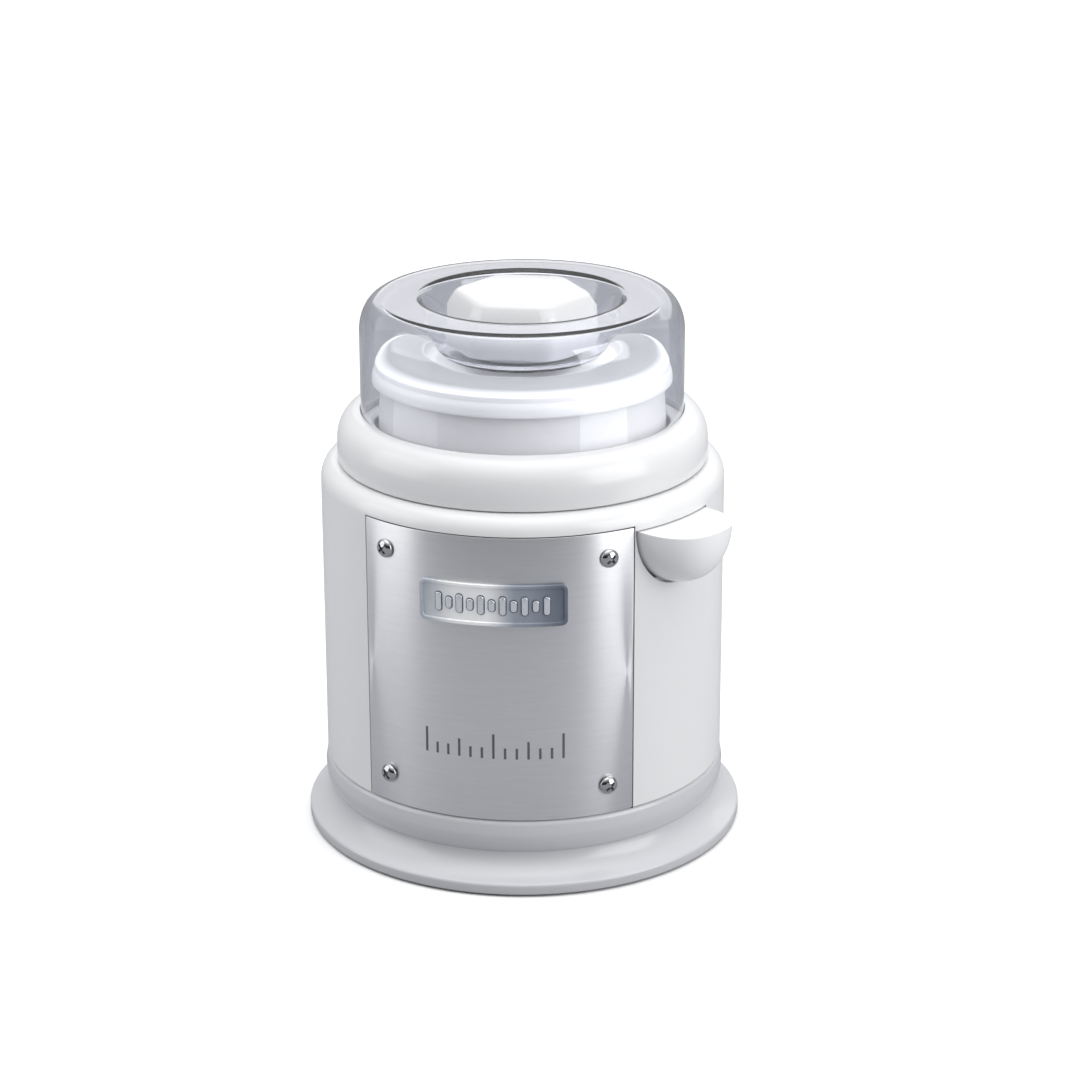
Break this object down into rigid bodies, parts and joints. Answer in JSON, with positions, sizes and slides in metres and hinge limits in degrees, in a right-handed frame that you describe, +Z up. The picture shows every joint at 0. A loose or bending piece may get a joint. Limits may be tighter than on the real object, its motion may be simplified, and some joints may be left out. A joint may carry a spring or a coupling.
{
  "type": "yogurt maker",
  "caption": "Round single-jar yogurt maker: white heated housing with a metal front panel, thumb lever, lift-out lidded jar and clear dome with a six-sided knob.",
  "frame": {"origin": "on the floor under the centre of the round foot ring", "axes": "+Z up, -Y out of the metal front panel, +X to the right when facing the panel"},
  "size_m": [0.18, 0.18, 0.224],
  "materials": {
    "white_plastic": "glossy moulded white",
    "jar_plastic": "satin translucent white",
    "clear_cover": "clear polished plastic",
    "panel_metal": "fine vertical satin sheet",
    "nameplate_metal": "brushed, blue-grey, raised border",
    "chrome": "bright plated",
    "steel": "zinc plated",
    "aluminium": "spun satin",
    "rubber": "soft matte",
    "silicone": "soft translucent",
    "black_plastic": "moulded",
    "insulation": "needled glass wool",
    "brass": "bare",
    "wire_brown": "wire insulation",
    "wire_blue": "wire insulation",
    "wire_green": "wire insulation"
  },
  "bodies": {
    "root": {"base_ring": "white_plastic", "bottom_plate": "white_plastic", "rubber_foot_1": "rubber", "rubber_foot_2": "rubber", "rubber_foot_3": "rubber", "rubber_foot_4": "rubber", "base_screw_1": "steel", "base_screw_2": "steel", "base_screw_3": "steel", "base_screw_4": "steel", "housing": "white_plastic", "front_panel": "panel_metal", "panel_screw_1": "chrome", "panel_screw_2": "chrome", "panel_screw_3": "chrome", "panel_screw_4": "chrome", "nameplate": "nameplate_metal", "collar_ring": "white_plastic", "heating_well": "aluminium", "insulation_sleeve": "insulation", "heating_plate": "aluminium", "heating_element": "steel", "element_clamp": "steel", "clamp_bolt": "steel", "thermostat": "aluminium", "thermal_fuse": "aluminium", "terminal_block": "black_plastic", "power_inlet": "black_plastic", "inlet_pin_1": "brass", "inlet_pin_2": "brass", "inlet_pin_3": "brass", "wire_live": "wire_brown", "wire_neutral": "wire_blue", "wire_earth": "wire_green", "wire_element": "wire_blue", "wire_switch_feed": "wire_brown", "wire_switch_return": "wire_brown", "wire_fuse": "wire_brown", "wire_element_return": "wire_brown", "lever_pin": "steel", "lever_spring": "steel", "switch_bracket": "steel", "bracket_screw_1": "steel", "bracket_screw_2": "steel", "microswitch": "black_plastic"},
    "jar": {"jar": "jar_plastic"},
    "lid": {"jar_lid": "jar_plastic", "lid_seal": "silicone"},
    "cover": {"dome_cover": "clear_cover", "dome_knob": "white_plastic", "knob_screw": "steel"},
    "lever": {"thumb_lever": "white_plastic"},
    "plunger": {"switch_plunger": "black_plastic"}
  },
  "joints": [
    {"name": "jar_lift", "type": "slide", "parent": "root", "child": "jar", "axis": [0, 0, 1], "range_m": [0, 0.14]},
    {"name": "lid_lift", "type": "slide", "parent": "jar", "child": "lid", "axis": [0, 0, 1], "range_m": [0, 0.04]},
    {"name": "cover_lift", "type": "slide", "parent": "lid", "child": "cover", "axis": [0, 0, 1], "range_m": [0, 0.08]},
    {"name": "lever_tilt", "type": "hinge", "parent": "root", "child": "lever", "pos_m": [0.05975, -0.04106, 0.1415], "axis": [0.5664, 0.8241, 0], "range_deg": [0, 6], "stiffness_Nm_per_rad": 0.5, "springref_deg": -2.86, "deforming": ["lever_spring"]},
    {"name": "plunger_travel", "type": "slide", "parent": "root", "child": "plunger", "axis": [-0.8241, 0.5664, 0], "range_m": [0, 0.00125]}
  ],
  "couplings": [
    {"joint": "plunger_travel", "follows": "lever_tilt", "m_per_rad": 0.0114}
  ]
}
